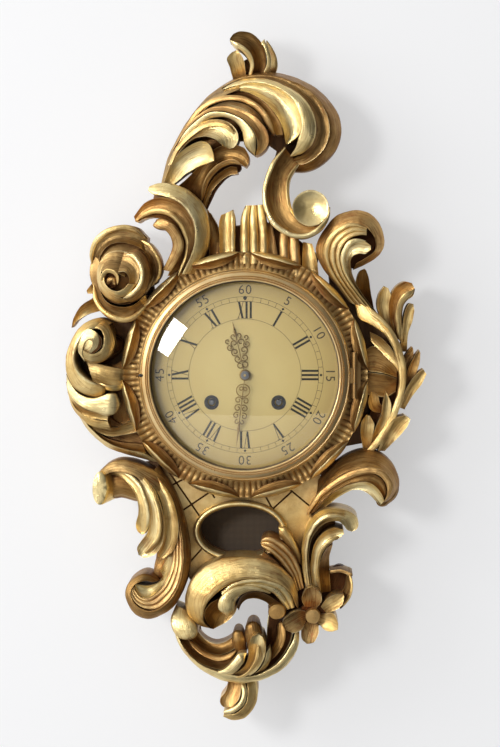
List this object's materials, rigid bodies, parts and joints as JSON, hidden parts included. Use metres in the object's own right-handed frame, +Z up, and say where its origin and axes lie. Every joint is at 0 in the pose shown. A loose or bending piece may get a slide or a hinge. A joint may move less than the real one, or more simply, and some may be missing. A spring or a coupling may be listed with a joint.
{
  "type": "cartel clock",
  "caption": "Carved giltwood wall clock with leaf scrolls, hinged brass bezel with domed glass, engraved dial, pierced hands and a spring-driven striking movement.",
  "frame": {"origin": "where the dial axis meets the wall, on the back of the rear cover", "axes": "+X to the viewer's right, +Z up, +Y into the wall, so the dial faces -Y"},
  "size_m": [0.3601, 0.105, 0.6862],
  "materials": {
    "giltwood": "worn leaf gilding",
    "bare_wood": "plain, aged",
    "brass": "polished",
    "steel": "plain",
    "glass": "clear",
    "dial": "satin gilt",
    "dark_metal": "black",
    "gilt_metal": "gilt",
    "cloth": "open weave"
  },
  "bodies": {
    "case": {"dial_surround": "giltwood", "surround_petals": "giltwood", "apron_board": "giltwood", "aperture_rim": "giltwood", "crest_leaf": "giltwood", "crest_plume": "giltwood", "crest_s_scroll": "giltwood", "crest_flutes": "giltwood", "left_shoulder_scroll": "giltwood", "rose": "giltwood", "rose_leaves": "giltwood", "right_shoulder_scroll": "giltwood", "right_leaf_branch": "giltwood", "left_c_scroll": "giltwood", "left_lower_acanthus": "giltwood", "right_lower_scroll": "giltwood", "right_lower_acanthus": "giltwood", "base_c_scroll": "giltwood", "base_crescent": "giltwood", "base_flower": "giltwood", "base_leaf_cup": "giltwood", "base_drop": "giltwood", "ground_board": "bare_wood", "sound_cloth": "cloth", "movement_case": "bare_wood", "rear_cover": "brass", "case_screws": "steel", "hanger_plate": "steel", "hinge_leaf": "brass", "hinge_pin": "steel", "dial_plate": "dial", "dial_screws": "brass", "winding_grommets": "dark_metal", "front_plate": "brass", "back_plate": "brass", "pillars": "brass", "gong": "steel", "gong_block": "steel"},
    "bezel": {"bezel_ring": "brass", "bezel_glass": "glass", "glass_retainer": "brass", "bezel_knob": "brass"},
    "minute_work": {"centre_wheel": "brass", "cannon_pinion": "steel", "minute_hand": "gilt_metal", "hand_nut": "brass"},
    "hour_work": {"hour_wheel": "brass", "hour_hand": "gilt_metal"},
    "minute_wheel": {"minute_wheel": "brass"},
    "middle_wheel": {"middle_wheel": "brass"},
    "going_barrel": {"going_barrel": "brass"},
    "third_wheel": {"third_wheel": "brass"},
    "escape_wheel": {"escape_wheel": "brass"},
    "strike_barrel": {"strike_barrel": "brass"},
    "going_arbor": {"going_arbor": "steel"},
    "strike_arbor": {"strike_arbor": "steel"},
    "pendulum": {"anchor": "steel", "pendulum": "brass"},
    "hammer": {"hammer": "steel"}
  },
  "joints": [
    {"name": "bezel_hinge", "type": "hinge", "parent": "case", "child": "bezel", "pos_m": [0.1095, -0.086, 0], "axis": [0, 0, 1], "range_deg": [0, 100]},
    {"name": "minute_turn", "type": "hinge", "parent": "case", "child": "minute_work", "pos_m": [0, -0.045, 0], "axis": [0, 1, 0], "continuous": true},
    {"name": "hour_turn", "type": "hinge", "parent": "case", "child": "hour_work", "pos_m": [0, -0.045, 0], "axis": [0, 1, 0], "continuous": true},
    {"name": "minute_wheel_turn", "type": "hinge", "parent": "case", "child": "minute_wheel", "pos_m": [0, -0.045, -0.012], "axis": [0, 1, 0], "continuous": true},
    {"name": "middle_wheel_turn", "type": "hinge", "parent": "case", "child": "middle_wheel", "pos_m": [0.0224, -0.045, -0.00044], "axis": [0, 1, 0], "continuous": true},
    {"name": "going_barrel_turn", "type": "hinge", "parent": "case", "child": "going_barrel", "pos_m": [0.0335, -0.045, -0.0275], "axis": [0, 1, 0], "continuous": true},
    {"name": "third_wheel_turn", "type": "hinge", "parent": "case", "child": "third_wheel", "pos_m": [-0.01352, -0.045, 0.01581], "axis": [0, 1, 0], "continuous": true},
    {"name": "escape_wheel_turn", "type": "hinge", "parent": "case", "child": "escape_wheel", "pos_m": [0, -0.045, 0.03], "axis": [0, 1, 0], "continuous": true},
    {"name": "strike_barrel_turn", "type": "hinge", "parent": "case", "child": "strike_barrel", "pos_m": [-0.0335, -0.045, -0.0275], "axis": [0, 1, 0], "continuous": true},
    {"name": "going_winding", "type": "hinge", "parent": "case", "child": "going_arbor", "pos_m": [0.0335, -0.045, -0.0275], "axis": [0, 1, 0], "range_deg": [0, 1620]},
    {"name": "strike_winding", "type": "hinge", "parent": "case", "child": "strike_arbor", "pos_m": [-0.0335, -0.045, -0.0275], "axis": [0, 1, 0], "range_deg": [-1620, 0]},
    {"name": "pendulum_swing", "type": "hinge", "parent": "case", "child": "pendulum", "pos_m": [0, -0.045, 0.045], "axis": [0, 1, 0], "range_deg": [-4, 4]},
    {"name": "hammer_lift", "type": "hinge", "parent": "case", "child": "hammer", "pos_m": [-0.046, -0.045, 0.026], "axis": [0, 1, 0], "range_deg": [-12, 0]}
  ],
  "couplings": [
    {"joint": "hour_turn", "follows": "minute_turn", "ratio": 0.083333},
    {"joint": "minute_wheel_turn", "follows": "minute_turn", "ratio": -0.33333},
    {"joint": "middle_wheel_turn", "follows": "minute_turn", "ratio": -0.16667},
    {"joint": "going_barrel_turn", "follows": "minute_turn", "ratio": 0.020833},
    {"joint": "third_wheel_turn", "follows": "minute_turn", "ratio": -12},
    {"joint": "escape_wheel_turn", "follows": "minute_turn", "ratio": 135}
  ]
}
